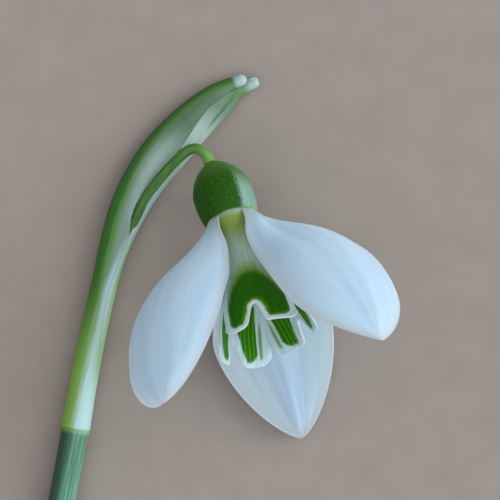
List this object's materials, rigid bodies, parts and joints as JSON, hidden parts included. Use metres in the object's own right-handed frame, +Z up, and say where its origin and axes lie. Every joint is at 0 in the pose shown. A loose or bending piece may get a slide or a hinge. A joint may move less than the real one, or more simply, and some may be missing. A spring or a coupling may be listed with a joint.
{
  "type": "snowdrop flower",
  "caption": "White drooping flower with spoon-shaped outer tepals and green-marked inner tepals on a cut stalk with a green spathe, lying on its side.",
  "frame": {"origin": "on the surface the flower lies on, under the centre of its box", "axes": "+X from the stalk towards the flower's open side, +Y from the cut end of the stalk towards the spathe's tip, +Z up, away from the surface"},
  "size_m": [0.0388, 0.0604, 0.0247],
  "materials": {
    "scape": "satin",
    "spathe": "satin",
    "pedicel": "satin",
    "ovary": "satin",
    "outer_tepal": "satin",
    "inner_tepal": "satin",
    "stamen": "matte",
    "style": "satin"
  },
  "bodies": {
    "root": {"scape": "scape", "spathe": "spathe", "pedicel": "pedicel", "ovary": "ovary", "outer_tepal_left": "outer_tepal", "outer_tepal_right": "outer_tepal", "outer_tepal_back": "outer_tepal", "inner_tepal_front": "inner_tepal", "inner_tepal_left": "inner_tepal", "inner_tepal_right": "inner_tepal", "stamen_1": "stamen", "stamen_2": "stamen", "stamen_3": "stamen", "stamen_4": "stamen", "stamen_5": "stamen", "stamen_6": "stamen", "style": "style"}
  },
  "joints": []
}
